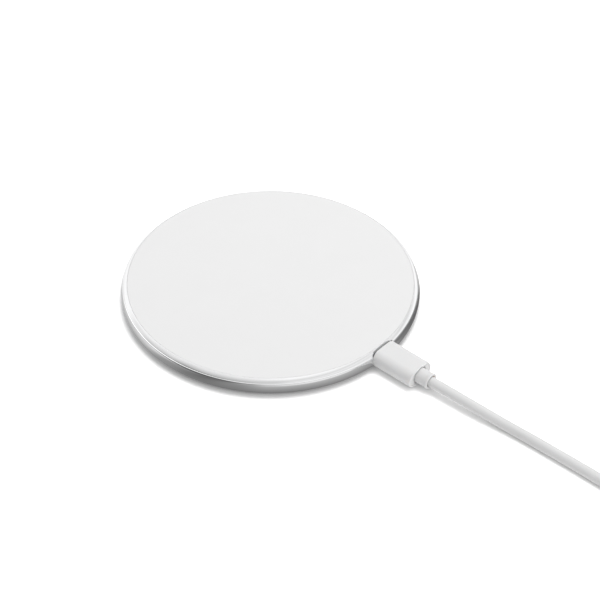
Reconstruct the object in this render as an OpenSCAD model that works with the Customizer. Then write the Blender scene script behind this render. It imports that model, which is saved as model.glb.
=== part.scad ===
// Round wireless charging pad with a detachable USB cable.
// Millimetres. The origin is the centre of the base on the table, +Z is up,
// and the plug leaves the pad along +X.

/* [Pad] */
// Diameter of the pad at the widest point of its rim
pad_d = 100; // [98:1:110]
// Height of the top face above the table
pad_h = 6.2; // [6.2:0.1:6.6]
// Thickness of the top plate
plate_t = 1.0; // [0.8:0.1:1.1]
// Clearance between the top plate's edge and the rim
plate_gap = 0.1; // [0.05:0.01:0.2]
// Height of the foot ring under the rim
foot_h = 0.6; // [0.4:0.1:0.7]
// Thickness of the bottom cover
cover_t = 1.0; // [0.8:0.1:1.0]

/* [Rim] */
// Width of the polished chamfer, seen from above
chamfer_w = 1.25; // [0.8:0.05:1.5]
// Height of the polished chamfer
chamfer_h = 1.35; // [0.8:0.05:1.5]
// How far the side wall bulges past its upper and lower edges
wall_bulge = 0.6; // [0.2:0.05:0.8]

/* [Charging coil] */
// Number of turns of the coil
coil_turns = 9; // [6:1:9]
// Width of the litz wire
wire_w = 1.15; // [1.0:0.05:1.15]
// Distance from one turn to the next
wire_pitch = 1.27; // [1.25:0.01:1.3]
// Radius of the outermost turn at its centre line
coil_r = 21.4; // [20:0.1:22]

/* [Plug and cable] */
// Width of the plug's overmould
plug_w = 11.0; // [10.2:0.1:12]
// Thickness of the plug's overmould
plug_t = 6.4; // [5.6:0.1:6.4]
// Length of the plug's overmould
plug_l = 15.6; // [14:0.1:20]
// Diameter of the cord
cord_d = 3.5; // [3.0:0.1:3.6]
// Gap between the overmould and the notch it sits in
notch_gap = 0.35; // [0.25:0.05:0.5]

/* [Hidden] */

pad_r = pad_d / 2;
// How far the port side moves out with a wider pad
dx = pad_r - 50;

// Radii of the rim, from the outside in
edge_r = pad_r - wall_bulge;          // corner between chamfer and wall
lip_r = edge_r - chamfer_w;           // flush lip round the plate
seat_r = lip_r - 0.15;                // pocket that the plate drops into
plate_r = seat_r - plate_gap;
ring_in_r = pad_r - 2.9;              // bore of the ring
ledge_r = pad_r - 4.4;                // inner edge of the plate's ledge
cover_r = ring_in_r - 0.2;
frame_r = ring_in_r - 0.2;

// Heights, from the table up
cover_z = foot_h;
cover_top = foot_h + cover_t;
plate_z = pad_h - plate_t;
ledge_z = plate_z - 0.15;             // tape thickness under the plate
edge_z = pad_h - chamfer_h;
bulge_z = 3.0;

// Coil stack, hung from the plate down
pad_z = plate_z - 0.25;               // underside of the adhesive pad
coil_z = pad_z - 1.15;                // underside of the coil
ferrite_t = 0.8;
ferrite_z = coil_z - ferrite_t;
ferrite_r = 24.2;
tray_r = 25.5;
tray_z = ferrite_z - 0.8;

// Circuit board
board_t = 0.8;
board_z = 2.4;
board_top = board_z + board_t;
board_in = 27 + dx;
board_out = 44.8 + dx;

// Port and plug
port_z = 3.25;
notch_x = pad_r - 1.65;               // floor of the notch in the rim
plug_x = notch_x + 0.75;              // leading face of the overmould
plug_end = plug_x + plug_l;
shell_w = 8.25;
shell_t = 2.4;
shell_tip = plug_x - 6.65;
rec_w = 8.94;
rec_t = 3.16;
rec_len = 7.35;
rec_x = notch_x - rec_len;
collar_r = 2.65;
collar_end = plug_end + 4.5;
cord_r = cord_d / 2;

// Screws
screw_r = 38 + dx;
screw_angles = [50, 102, 154, 206, 258, 310];
board_screw_pos = [[31.5 + dx, 14.5], [31.5 + dx, -14.5]];

// Route of the cord from the plug to the coil, along its centre line
run_route = [
    [68.2, 0, 3.25], [71, 0, 3.25], [74, 0, 3.25], [78, 0.1, 3.2], [82, 0.2, 3.1],
    [86, 0.4, 2.9], [90, 0.7, 2.6], [94, 1.0, 2.3], [98, 1.3, 2.0], [103, 1.6, 1.8],
    [109, 1.8, 1.8], [116, 1.9, 1.8], [123, 2, 1.8], [130, 2, 1.8], [137, 2, 1.8],
    [144, 2, 1.8]];
// Stored coil: centre, and the section that its turns fill
hank_c = [152, 27.4];
hank_in = 12.8;
hank_out = 27.2;
hank_h = 7.3;
// Route of the cord from the coil to the far plug
tail_route = [
    [164, 7.5, 5.2], [168, 8.6, 5.3], [172, 10, 5.1], [176, 11.9, 4.7], [179.5, 14.3, 4.2],
    [182.5, 17.2, 3.8], [185, 20.6, 3.5], [187, 24.5, 3.4], [188.3, 28.5, 3.5],
    [189, 32.5, 3.7], [189, 36, 3.8]];

// Far plug
a_x = 189;
a_z = 3.8;
a_y = 36;                             // where the cord enters its strain relief
a_body_y = 40.5;
a_w = 15.6;
a_t = 7.6;
a_l = 19;
a_shell_w = 12;
a_shell_t = 4.5;
a_tip = a_body_y + a_l + 11.8;

// ---- helpers ----

// Points of a half section of length l and half height h, with rounded ends
function round_end(h, l, f0, f1, n = 4) = concat(
    [[0, 0]],
    [for (i = [0:n]) let (a = 90 * i / n) [f0 - f0 * cos(a), h - f0 + f0 * sin(a)]],
    [for (i = [0:n]) let (a = 90 * i / n) [l - f1 + f1 * sin(a), h - f1 + f1 * cos(a)]],
    [[l, 0]]);

function swap(p) = [for (q = p) [q[1], q[0]]];
function mirrored(p) = [for (i = [len(p) - 1:-1:0]) [p[i][0], -p[i][1]]];

module stadium2d(w, t) {
    square([w - t, t], center = true);
    translate([(w - t) / 2, 0]) circle(d = t, $fn = 48);
    translate([-(w - t) / 2, 0]) circle(d = t, $fn = 48);
}

// Stadium prism along +X at the port's height
module stadium_x(w, t, x0, x1) {
    translate([x0, 0, port_z]) rotate([90, 0, 90]) linear_extrude(x1 - x0) stadium2d(w, t);
}

// Stadium body along +X with rounded ends
module round_body(w, t, l, f0, f1) {
    prof = round_end(t / 2, l, f0, f1);
    for (s = [-1, 1]) translate([0, s * (w - t) / 2, 0]) rotate([0, 90, 0])
        rotate_extrude($fn = 64) polygon(swap(prof));
    rotate([90, 0, 0]) linear_extrude(w - t, center = true)
        polygon(concat(prof, mirrored(prof)));
}

// Box from corner to corner
module block(a, b) { translate(a) cube(b - a); }

// Tube with an n-sided section swept along a route
module swept_tube(pts, r, n = 8) {
    m = len(pts);
    function unit(v) = v / norm(v);
    function tangent(i) = unit(pts[min(i + 1, m - 1)] - pts[max(i - 1, 0)]);
    rings = [for (i = [0:m - 1])
        let (t = tangent(i), s = unit(cross([0, 0, 1], t)), u = cross(t, s))
        for (k = [0:n - 1]) let (a = 360 * (k + 0.5) / n)
            pts[i] + r * (cos(a) * s + sin(a) * u)];
    sides = [for (i = [0:m - 2]) for (k = [0:n - 1])
        [i * n + k, (i + 1) * n + k, (i + 1) * n + (k + 1) % n, i * n + (k + 1) % n]];
    polyhedron(points = rings, faces = concat(
        [[for (k = [0:n - 1]) k]],
        [[for (k = [n - 1:-1:0]) (m - 1) * n + k]],
        sides), convexity = 4);
}

// ---- pad: shell pieces ----

module top_plate() {
    color([0.93, 0.93, 0.935])
        translate([0, 0, plate_z]) rotate_extrude($fn = 180)
            polygon([[0, 0], [plate_r, 0], [plate_r, plate_t - 0.12],
                [plate_r - 0.12, plate_t], [0, plate_t]]);
}

module plate_adhesive_ring() {
    color([0.15, 0.15, 0.16])
        translate([0, 0, ledge_z]) difference() {
            cylinder(r = plate_r - 0.2, h = plate_z - ledge_z, $fn = 120);
            translate([0, 0, -1]) cylinder(r = ledge_r + 0.2, h = 2, $fn = 120);
        }
}

function wall_point(z) = [pad_r - wall_bulge * pow(abs(z - bulge_z) / (edge_z - bulge_z), 2), z];

module rim_ring() {
    z0 = foot_h + 0.4;
    wall = [for (i = [0:9]) wall_point(edge_z + (z0 - edge_z) * i / 9)];
    color([0.8, 0.81, 0.82]) difference() {
        rotate_extrude($fn = 180) polygon(concat(
            [[seat_r, pad_h], [lip_r, pad_h]],
            wall,
            [[wall[9][0] - 0.12, foot_h + 0.12], [wall[9][0] - 0.4, foot_h],
                [ring_in_r, foot_h], [ring_in_r, ledge_z - 0.65], [ledge_r, ledge_z - 0.65],
                [ledge_r, ledge_z], [seat_r, ledge_z]]));
        // notch that the plug's overmould sits in
        stadium_x(plug_w + 2 * notch_gap, plug_t + 2 * notch_gap, notch_x, pad_r + 3);
        // port
        stadium_x(rec_w + 0.2, rec_t + 0.2, ring_in_r - 4, notch_x + 1);
    }
}

module mid_frame() {
    wall_top = ledge_z - 0.75;
    color([0.9, 0.9, 0.9]) difference() {
        union() {
            // outer wall
            difference() {
                translate([0, 0, cover_top]) cylinder(r = frame_r, h = wall_top - cover_top, $fn = 120);
                translate([0, 0, 0]) cylinder(r = frame_r - 1.5, h = 8, $fn = 120);
            }
            // coil tray with its lip
            translate([0, 0, tray_z]) cylinder(r = tray_r, h = ferrite_z - tray_z, $fn = 96);
            difference() {
                translate([0, 0, tray_z]) cylinder(r = tray_r, h = ferrite_z + 0.7 - tray_z, $fn = 96);
                cylinder(r = ferrite_r + 0.15, h = 8, $fn = 96);
                block([20, -4, ferrite_z], [30, 4, 8]);
            }
            // ribs and screw bosses
            for (a = screw_angles) rotate(a) {
                block([tray_r - 1, -1.2, tray_z], [frame_r - 0.7, 1.2, tray_z + 1.2]);
                translate([screw_r, 0, cover_top]) cylinder(r = 2.2, h = 4.2 - cover_top, $fn = 48);
            }
            // posts for the board
            for (p = board_screw_pos) {
                translate([p[0], p[1], board_top]) cylinder(r = 1.8, h = 4.6 - board_top, $fn = 48);
                rotate(atan2(p[1], p[0])) block([tray_r - 1.2, -0.9, board_top + 0.1],
                    [norm(p), 0.9, 4.3]);
            }
        }
        // cable slots in the tray, openings for the port and the screws
        translate([0, 0, 0]) cylinder(r = 6, h = 8, $fn = 48);
        block([ledge_r - 3, -5.4, 0], [pad_r, 5.4, 8]);
        for (a = screw_angles) rotate(a) translate([screw_r, 0, 0])
            cylinder(r = 0.8, h = 3.9, $fn = 32);
        for (p = board_screw_pos) translate([p[0], p[1], 0]) cylinder(r = 0.7, h = 4.3, $fn = 32);
    }
}

module bottom_cover() {
    color([0.92, 0.92, 0.92]) difference() {
        translate([0, 0, cover_z]) rotate_extrude($fn = 150) polygon([[0, 0], [cover_r - 0.2, 0],
            [cover_r, 0.2], [cover_r, cover_t], [0, cover_t]]);
        // groove for the foot ring
        difference() {
            cylinder(r = 43 + dx, h = cover_z + 0.3, $fn = 120);
            translate([0, 0, -1]) cylinder(r = 33 + dx, h = 4, $fn = 120);
        }
        for (a = screw_angles) rotate(a) translate([screw_r, 0, 0]) {
            cylinder(r = 0.9, h = 4, $fn = 32);
            translate([0, 0, cover_z + 0.3]) cylinder(r1 = 1.6, r2 = 0.9, h = 0.5, $fn = 32);
        }
    }
}

module anti_slip_ring() {
    color([0.8, 0.8, 0.81]) rotate_extrude($fn = 120)
        polygon([[33.1 + dx, foot_h + 0.3], [33.1 + dx, 0.2], [33.3 + dx, 0], [42.7 + dx, 0],
            [42.9 + dx, 0.2], [42.9 + dx, foot_h + 0.3]]);
}

module cover_screws() {
    z0 = cover_z + 0.3;
    color([0.35, 0.35, 0.37]) for (a = screw_angles) rotate(a) translate([screw_r, 0, z0])
        difference() {
            rotate_extrude($fn = 32) polygon([[0, 0], [1.55, 0], [0.8, 0.5], [0.8, 2.8],
                [0.5, 3.0], [0, 3.0]]);
            block([-0.8, -0.15, -1], [0.8, 0.15, 0.3]);
            block([-0.15, -0.8, -1], [0.15, 0.8, 0.3]);
        }
}

module board_screws() {
    color([0.6, 0.6, 0.62]) for (p = board_screw_pos) translate([p[0], p[1], board_z - 0.6])
        difference() {
            union() {
                cylinder(r = 1.4, h = 0.6, $fn = 32);
                cylinder(r = 0.7, h = 2.4, $fn = 32);
            }
            block([-0.7, -0.15, -1], [0.7, 0.15, 0.3]);
            block([-0.15, -0.7, -1], [0.15, 0.7, 0.3]);
        }
}

// ---- pad: coil stack ----

module charging_coil() {
    seg = 28;
    n = coil_turns * seg;
    function at(i, off) = let (a = 360 * i / seg, r = coil_r - wire_pitch * i / seg + off)
        [r * cos(a), r * sin(a)];
    color([0.72, 0.42, 0.22]) translate([0, 0, coil_z]) linear_extrude(pad_z - coil_z)
        polygon(concat([for (i = [0:n]) at(i, wire_w / 2)], [for (i = [n:-1:0]) at(i, -wire_w / 2)]));
}

module coil_leads() {
    inner_r = coil_r - wire_pitch * coil_turns;
    color([0.7, 0.4, 0.2]) {
        // outer lead, from the coil's first turn out and down to the board
        block([coil_r - wire_w / 2, -wire_w, coil_z], [31.5 + dx, 0, pad_z - 0.05]);
        block([30.3 + dx, -wire_w, board_top], [31.5 + dx, 0, coil_z]);
        // inner lead, under the turns in the ferrite's slot
        block([inner_r - 0.6, -3, board_top], [31.5 + dx, -1.8, coil_z - 0.1]);
        block([inner_r - 0.6, -3, coil_z - 0.1], [inner_r + 0.4, -1.8, coil_z]);
    }
}

module coil_adhesive_pad() {
    color([0.85, 0.8, 0.55]) translate([0, 0, pad_z]) cylinder(r = 23, h = plate_z - pad_z, $fn = 96);
}

module ferrite_sheet() {
    color([0.2, 0.2, 0.21]) difference() {
        translate([0, 0, ferrite_z]) cylinder(r = ferrite_r, h = ferrite_t, $fn = 96);
        block([8.4, -3.4, 0], [30, 2.4, 8]);
    }
}

module temperature_sensor() {
    color([0.1, 0.1, 0.1]) block([-1.3, 0.2, coil_z], [1.3, 2.2, pad_z - 0.1]);
}

module sensor_wires() {
    color([0.8, 0.1, 0.1]) for (y = [0.5, 1.5]) {
        block([1.3, y, coil_z + 0.05], [9.2, y + 0.4, coil_z + 0.45]);
        block([8.8, y, board_top + 0.05], [9.2, y + 0.4, coil_z + 0.45]);
        block([8.8, y, board_top + 0.05], [30 + dx, y + 0.4, board_top + 0.45]);
        block([29.6 + dx, y, board_top], [30 + dx, y + 0.4, board_top + 0.45]);
    }
}

// ---- pad: electronics ----

module circuit_board() {
    color([0.05, 0.3, 0.15]) translate([0, 0, board_z]) linear_extrude(board_t) difference() {
        intersection() {
            circle(r = board_out, $fn = 120);
            polygon([[0, 0], [60, -34], [60, 34]]);
        }
        circle(r = board_in, $fn = 96);
        // cut-out for the receptacle
        translate([rec_x - 0.1, -rec_w / 2 - 0.1]) square([20, rec_w + 0.2]);
        for (p = board_screw_pos) translate(p) circle(r = 0.85, $fn = 32);
    }
}

module receptacle_shell() {
    color([0.75, 0.75, 0.76]) {
        difference() {
            stadium_x(rec_w, rec_t, rec_x, notch_x);
            stadium_x(8.34, 2.56, rec_x + 0.4, notch_x + 1);
        }
        for (s = [-1, 1]) for (x = [rec_x + 1, rec_x + 3.2])
            block([x, s > 0 ? rec_w / 2 - 0.2 : -rec_w / 2 - 1.4, board_top],
                [x + 1, s > 0 ? rec_w / 2 + 1.4 : -rec_w / 2 + 0.2, board_top + 0.3]);
    }
}

module receptacle_tongue() {
    color([0.1, 0.1, 0.1]) {
        block([rec_x + 0.4, -3.3, port_z - 0.3], [notch_x - 1.2, 3.3, port_z + 0.3]);
        block([rec_x + 0.4, -3.3, port_z - 1.0], [rec_x + 1.2, 3.3, port_z + 1.0]);
    }
}

module receptacle_contacts() {
    color([0.85, 0.68, 0.25]) for (i = [0:11]) for (s = [-1, 1])
        let (y = -2.75 + 0.5 * i, z = s > 0 ? port_z + 0.3 : port_z - 0.35)
        block([rec_x + 1.2, y - 0.13, z], [notch_x - 1.7, y + 0.13, z + 0.05]);
}

module chip(pos, size) { translate([pos[0], pos[1], board_top]) translate([-size[0] / 2, -size[1] / 2, 0]) cube(size); }

module controller_chip() {
    color([0.08, 0.08, 0.09]) difference() {
        chip([36.6 + dx, 0], [5, 5, 0.85]);
        translate([34.8 + dx, -1.8, board_top + 0.8]) cylinder(r = 0.25, h = 1, $fn = 24);
    }
}

module power_stage_chip() {
    color([0.09, 0.09, 0.1]) difference() {
        chip([33 + dx, 8], [4, 4, 0.85]);
        translate([31.6 + dx, 6.6, board_top + 0.8]) cylinder(r = 0.2, h = 1, $fn = 24);
    }
}

module resonant_capacitors() {
    color([0.75, 0.65, 0.5]) for (x = [33 + dx, 37.4 + dx]) for (y = [-6.6, -10.2])
        chip([x, y], [3.2, 2.5, 1.5]);
}

module input_capacitors() {
    color([0.7, 0.6, 0.45]) for (p = [[38.4 + dx, 6.2], [38.4 + dx, 8.6], [42 + dx, 8.8]])
        chip(p, [3.2, 1.6, 1.4]);
}

module chip_resistors() {
    color([0.12, 0.12, 0.12]) {
        for (i = [0:4]) chip([36 + dx + 1.4 * i, 11.4], [1.0, 0.5, 0.35]);
        for (i = [0:3]) chip([36 + dx + 1.4 * i, -13], [1.0, 0.5, 0.35]);
        for (i = [0:2]) chip([42.2 + dx, -7.2 - 1.1 * i], [1.0, 0.5, 0.35]);
    }
}

module power_inductor() {
    color([0.3, 0.3, 0.32]) difference() {
        chip([37.5 + dx, 15], [4, 4, 1.5]);
        translate([37.5 + dx, 15, board_top + 1.35]) difference() {
            cylinder(r = 1.7, h = 1, $fn = 32);
            translate([0, 0, -1]) cylinder(r = 1.3, h = 3, $fn = 32);
        }
    }
}

module thermal_pad() {
    color([0.55, 0.6, 0.75]) block([29.4 + dx, 4, cover_top], [36.6 + dx, 12, board_z]);
}

// ---- cable: plug ----

module plug_shell() {
    color([0.8, 0.8, 0.81]) difference() {
        stadium_x(shell_w, shell_t, shell_tip, plug_x + 5);
        stadium_x(shell_w - 0.5, shell_t - 0.5, shell_tip - 1, plug_x + 6);
    }
}

module plug_insulator() {
    color([0.12, 0.12, 0.12]) difference() {
        stadium_x(shell_w - 0.5, shell_t - 0.5, shell_tip + 0.2, plug_x + 5);
        block([shell_tip - 1, -3.45, port_z - 0.475], [shell_tip + 5.4, 3.45, port_z + 0.475]);
    }
}

module plug_contacts() {
    color([0.85, 0.68, 0.25]) for (i = [0:11]) for (s = [-1, 1])
        let (y = -2.75 + 0.5 * i, z = s > 0 ? port_z + 0.435 : port_z - 0.475)
        block([shell_tip + 0.9, y - 0.12, z], [shell_tip + 5.4, y + 0.12, z + 0.04]);
}

module plug_board() {
    color([0.05, 0.3, 0.15])
        block([plug_x + 5, -3.7, port_z - 0.4], [plug_x + 10.5, 3.7, port_z + 0.4]);
}

module plug_overmould() {
    color([0.94, 0.94, 0.94]) difference() {
        translate([plug_x, 0, port_z]) round_body(plug_w, plug_t, plug_l, 0.4, 0.5);
        stadium_x(shell_w, shell_t, plug_x - 1, plug_x + 5);
        block([plug_x + 4.9, -3.7, port_z - 0.4], [plug_x + 10.5, 3.7, port_z + 0.4]);
        // recess round the root of the strain relief
        translate([plug_end - 0.5, 0, port_z]) rotate([0, 90, 0]) cylinder(r = 3.0, h = 2, $fn = 64);
    }
}

// Round collar along +X from its root to its lip, with the cord's socket in its end
module collar(l) {
    rotate([0, 90, 0]) rotate_extrude($fn = 64) polygon([[0, 0], [collar_r, 0], [collar_r, l - 0.9],
        [collar_r + 0.08, l - 0.75], [collar_r + 0.12, l - 0.45], [collar_r + 0.05, l - 0.15],
        [collar_r - 0.15, l], [cord_r + 0.3, l], [cord_r + 0.2, l - 1.0], [0, l - 1.0]]);
}

module plug_strain_relief() {
    color([0.93, 0.93, 0.93])
        translate([plug_end - 0.5, 0, port_z]) collar(collar_end - plug_end + 0.5);
}

// ---- cable: cord ----

module cable_run() {
    color([0.92, 0.92, 0.92]) swept_tube([for (p = run_route) p + [dx, 0, 0]], cord_r);
}

module cable_coil() {
    f = 1.6;
    color([0.92, 0.92, 0.92]) translate([hank_c[0] + dx, hank_c[1], 0]) difference() {
        rotate_extrude($fn = 96) polygon([[hank_in + f, 0], [hank_out - f, 0],
            [hank_out, f], [hank_out, hank_h - f], [hank_out - f, hank_h],
            [hank_in + f, hank_h], [hank_in, hank_h - f], [hank_in, f]]);
        // the strap passes under the turns here
        block([-4, hank_in - 2, -1], [4, hank_out + 2, 0.8]);
    }
}

module cable_tail() {
    color([0.92, 0.92, 0.92]) swept_tube([for (p = tail_route) p + [dx, 0, 0]], cord_r);
}

module cable_tie() {
    t = 0.8;
    c = 1.5;
    y0 = hank_in - 0.6;               // clears the ring's inner curve over the strap's width
    y1 = hank_out + 0.1;
    z1 = hank_h + 0.1;
    inner = [[y0 + 0.5, t], [y1 - 0.5, t], [y1, t + 0.5], [y1, z1 - c], [y1 - c, z1], [y0 + c, z1],
        [y0, z1 - c], [y0, t + 0.5]];
    outer = [[y0 + 0.2, 0], [y1 - 0.2, 0], [y1 + t, t + 0.2], [y1 + t, z1 - c + 0.3],
        [y1 - c + 0.3, z1 + t], [y0 + c - 0.3, z1 + t], [y0 - t, z1 - c + 0.3], [y0 - t, t + 0.2]];
    color([0.9, 0.9, 0.9]) translate([hank_c[0] + dx, hank_c[1], 0]) {
        rotate([90, 0, 90]) translate([0, 0, -3.5]) linear_extrude(7) difference() {
            polygon(outer);
            polygon(inner);
        }
        // the strap's free end, folded back over the top
        block([-3, y0 + 4, z1 + t - 0.01], [3, y1 - 2, z1 + 2 * t]);
    }
}

// ---- cable: far plug ----

// Turns a shape built along +X into one along +Y at the far plug's axis
module at_far_plug(y) { translate([a_x + dx, y, a_z]) rotate([0, 0, 90]) children(); }

module usb_a_overmould() {
    color([0.94, 0.94, 0.94]) at_far_plug(a_body_y) difference() {
        round_body(a_w, a_t, a_l, 1.0, 0.6);
        block([a_l - 6, -a_shell_w / 2, -a_shell_t / 2], [a_l + 1, a_shell_w / 2, a_shell_t / 2]);
    }
}

module usb_a_strain_relief() {
    color([0.93, 0.93, 0.93]) at_far_plug(a_body_y) rotate([0, 0, 180]) collar(a_body_y - a_y + 1);
}

module usb_a_shell() {
    color([0.8, 0.8, 0.81]) at_far_plug(a_body_y) difference() {
        block([a_l - 6, -a_shell_w / 2, -a_shell_t / 2], [a_l + 11.8, a_shell_w / 2, a_shell_t / 2]);
        block([a_l - 7, -a_shell_w / 2 + 0.3, -a_shell_t / 2 + 0.3],
            [a_l + 13, a_shell_w / 2 - 0.3, a_shell_t / 2 - 0.3]);
        for (s = [-1, 1]) for (z = [-1, 1])
            block([a_l + 4.5, s * 2.8 - 1.2, z * 2.2 - 0.6], [a_l + 6.7, s * 2.8 + 1.2, z * 2.2 + 0.6]);
    }
}

module usb_a_insulator() {
    color([0.95, 0.95, 0.95]) at_far_plug(a_body_y) {
        block([a_l - 6, -5.7, -1.95], [a_l + 1.0, 5.7, 1.95]);
        block([a_l - 1, -5.6, -1.95], [a_l + 11.2, 5.6, 0]);
    }
}

module usb_a_contacts() {
    color([0.85, 0.68, 0.25]) at_far_plug(a_body_y) for (i = [-1.5, -0.5, 0.5, 1.5])
        block([a_l + 1.0, i * 2.3 - 0.5, 0], [a_l + 10.2, i * 2.3 + 0.5, 0.12]);
}

top_plate();
plate_adhesive_ring();
rim_ring();
mid_frame();
bottom_cover();
anti_slip_ring();
cover_screws();
charging_coil();
coil_leads();
coil_adhesive_pad();
ferrite_sheet();
circuit_board();
board_screws();
receptacle_shell();
receptacle_tongue();
receptacle_contacts();
controller_chip();
power_stage_chip();
resonant_capacitors();
input_capacitors();
chip_resistors();
power_inductor();
temperature_sensor();
sensor_wires();
thermal_pad();
plug_shell();
plug_insulator();
plug_contacts();
plug_board();
plug_overmould();
plug_strain_relief();
cable_run();
cable_coil();
cable_tail();
cable_tie();
usb_a_shell();
usb_a_insulator();
usb_a_contacts();
usb_a_overmould();
usb_a_strain_relief();
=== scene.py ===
import math

import bmesh
import bpy
import numpy as np
from mathutils import Matrix, Vector
from mathutils.bvhtree import BVHTree


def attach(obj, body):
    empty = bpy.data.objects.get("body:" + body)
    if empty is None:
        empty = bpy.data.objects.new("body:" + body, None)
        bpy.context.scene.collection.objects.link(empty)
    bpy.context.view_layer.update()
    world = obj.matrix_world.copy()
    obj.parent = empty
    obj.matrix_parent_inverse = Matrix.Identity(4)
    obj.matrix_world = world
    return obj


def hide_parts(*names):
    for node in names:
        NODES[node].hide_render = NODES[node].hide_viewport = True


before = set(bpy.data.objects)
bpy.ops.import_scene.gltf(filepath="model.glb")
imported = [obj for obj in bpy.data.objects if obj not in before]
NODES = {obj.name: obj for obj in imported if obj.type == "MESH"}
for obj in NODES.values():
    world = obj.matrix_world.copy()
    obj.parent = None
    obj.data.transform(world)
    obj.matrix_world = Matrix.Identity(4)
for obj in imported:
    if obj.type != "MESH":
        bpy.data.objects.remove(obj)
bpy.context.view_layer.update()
MM = 0.001
scene = bpy.context.scene

# ---------------------------------------------------------------- camera

ELEVATION, AZIMUTH, DISTANCE = 0.714778, 0.737330, 0.7
FOCAL_PX = 2080.2  # for a picture 600 pixels wide


def make_camera():
    front = Vector((math.sin(AZIMUTH), -math.cos(AZIMUTH), 0))
    back = front * math.cos(ELEVATION) + Vector((0, 0, math.sin(ELEVATION)))
    up = -front * math.sin(ELEVATION) + Vector((0, 0, math.cos(ELEVATION)))
    right = Vector((math.cos(AZIMUTH), math.sin(AZIMUTH), 0))
    axes = Matrix((right, up, back)).transposed()
    # turned a little, so that the pad's centre is where the framing has it
    aim = Vector((29.3, -6.24, -FOCAL_PX)).normalized()
    turn = Vector((0, 0, -1)).rotation_difference(aim).to_matrix()
    data = bpy.data.cameras.new("camera")
    data.sensor_width = 36
    data.lens = FOCAL_PX / 600 * 36
    data.clip_start, data.clip_end = 0.02, 20
    cam = bpy.data.objects.new("camera", data)
    cam.matrix_world = Matrix.Translation(back * DISTANCE) @ (axes @ turn).to_4x4()
    scene.collection.objects.link(cam)
    scene.camera = cam


make_camera()

# ---------------------------------------------------------------- mesh helpers


def rounded(points, closed=False, step=12.0):
    """Points (r, x, radius) as a fine line with round corners: the points, and the normal to the right of the way they go."""
    n = len(points)
    pts = [Vector(p[:2]) for p in points]
    out, normals = [], []

    def right_of(d):
        d = d.normalized()
        return Vector((d.y, -d.x))

    for i in range(n):
        p, rad = pts[i], (points[i][2] if len(points[i]) > 2 else 0.0)
        if not closed and i in (0, n - 1):
            d = pts[1] - pts[0] if i == 0 else pts[-1] - pts[-2]
            out.append(p)
            normals.append(right_of(d))
            continue
        a, b = pts[i - 1], pts[(i + 1) % n]
        din, dout = (p - a), (b - p)
        nin, nout = right_of(din), right_of(dout)
        turn = din.angle(dout)
        if rad <= 0 or turn < 1e-4:
            out.append(p)
            normals.append((nin + nout).normalized())
            continue
        reach = min(rad * math.tan(turn / 2), 0.49 * din.length, 0.49 * dout.length)
        rad = reach / math.tan(turn / 2)
        start = p - din.normalized() * reach
        sign = 1 if din.x * dout.y - din.y * dout.x > 0 else -1
        centre = start - nin * rad * sign
        k = max(2, math.ceil(math.degrees(turn) / step))
        base = math.atan2((start - centre).y, (start - centre).x)
        for j in range(k + 1):
            t = base + sign * turn * j / k
            spoke = Vector((math.cos(t), math.sin(t)))
            out.append(centre + spoke * rad)
            normals.append(spoke * sign)
    return [tuple(p) for p in out], [tuple(m) for m in normals]


def corners_of(kind, a=0.0, b=0.0, segs=64):
    """The round corners that an outline turns about: (centre u, centre v, cos, sin) for each point round it."""
    if kind == "circle":
        spots = [(0, 0, 360 * i / segs) for i in range(segs)]
    elif kind == "stadium":
        k = segs // 2
        spots = [(a, 0, -90 + 180 * i / k) for i in range(k + 1)]
        spots += [(-a, 0, 90 + 180 * i / k) for i in range(k + 1)]
    else:
        k = segs // 4
        spots = []
        for q, (su, sv) in enumerate([(1, 1), (-1, 1), (-1, -1), (1, -1)]):
            spots += [(su * a, sv * b, 90 * q + 90 * i / k) for i in range(k + 1)]
    return [
        (u, v, math.cos(math.radians(t)), math.sin(math.radians(t)))
        for u, v, t in spots
    ]


def sweep(profile, normals, outline, place, closed=True, caps=(False, False)):
    """Carries a profile of (radius, along) round an outline. place(u, v, along) gives the point. Returns vertices, faces and vertex normals."""
    m, n = len(profile), len(outline)
    verts, vnorm, faces = [], [], []
    o = Vector(place(0, 0, 0))
    axes = [Vector(place(*e)) - o for e in ((1, 0, 0), (0, 1, 0), (0, 0, 1))]
    for u, v, c, s in outline:
        for (r, x), (nr, nx) in zip(profile, normals):
            verts.append(Vector(place(u + r * c, v + r * s, x)))
            vnorm.append((axes[0] * nr * c + axes[1] * nr * s + axes[2] * nx).normalized())
    flip = axes[0].cross(axes[1]).dot(axes[2]) < 0
    rows = m if closed else m - 1
    for i in range(n):
        j = (i + 1) % n
        for k in range(rows):
            l = (k + 1) % m
            f = [i * m + k, i * m + l, j * m + l, j * m + k]
            faces.append(f if flip else f[::-1])
    for end, k in ((0, 0), (1, m - 1)):
        if caps[end]:
            f = [i * m + k for i in range(n)]
            if (end == 0) == flip:
                f = f[::-1]
            faces.append(f)
    return verts, faces, vnorm


def make_object(name, verts, faces, vnorm=None, smooth=True):
    mesh = bpy.data.meshes.new(name)
    mesh.from_pydata([tuple(Vector(v) * MM) for v in verts], [], faces)
    mesh.validate()
    bm = bmesh.new()
    bm.from_mesh(mesh)
    bmesh.ops.recalc_face_normals(bm, faces=bm.faces)
    bm.to_mesh(mesh)
    bm.free()
    mesh.polygons.foreach_set("use_smooth", [smooth] * len(mesh.polygons))
    if vnorm is not None:
        set_normals(mesh, vnorm)
    obj = bpy.data.objects.new(name, mesh)
    scene.collection.objects.link(obj)
    return obj


def set_normals(mesh, vnorm):
    """Sets the vertex normals, turned to the side that the faces face."""
    given = np.array([tuple(n) for n in vnorm], float)
    own = np.zeros(len(mesh.vertices) * 3, np.float32)
    mesh.vertices.foreach_get("normal", own)
    own = own.reshape(-1, 3)
    if (given * own).sum() < 0:
        given = -given
    mesh.normals_split_custom_set_from_vertices(given.tolist())


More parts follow.
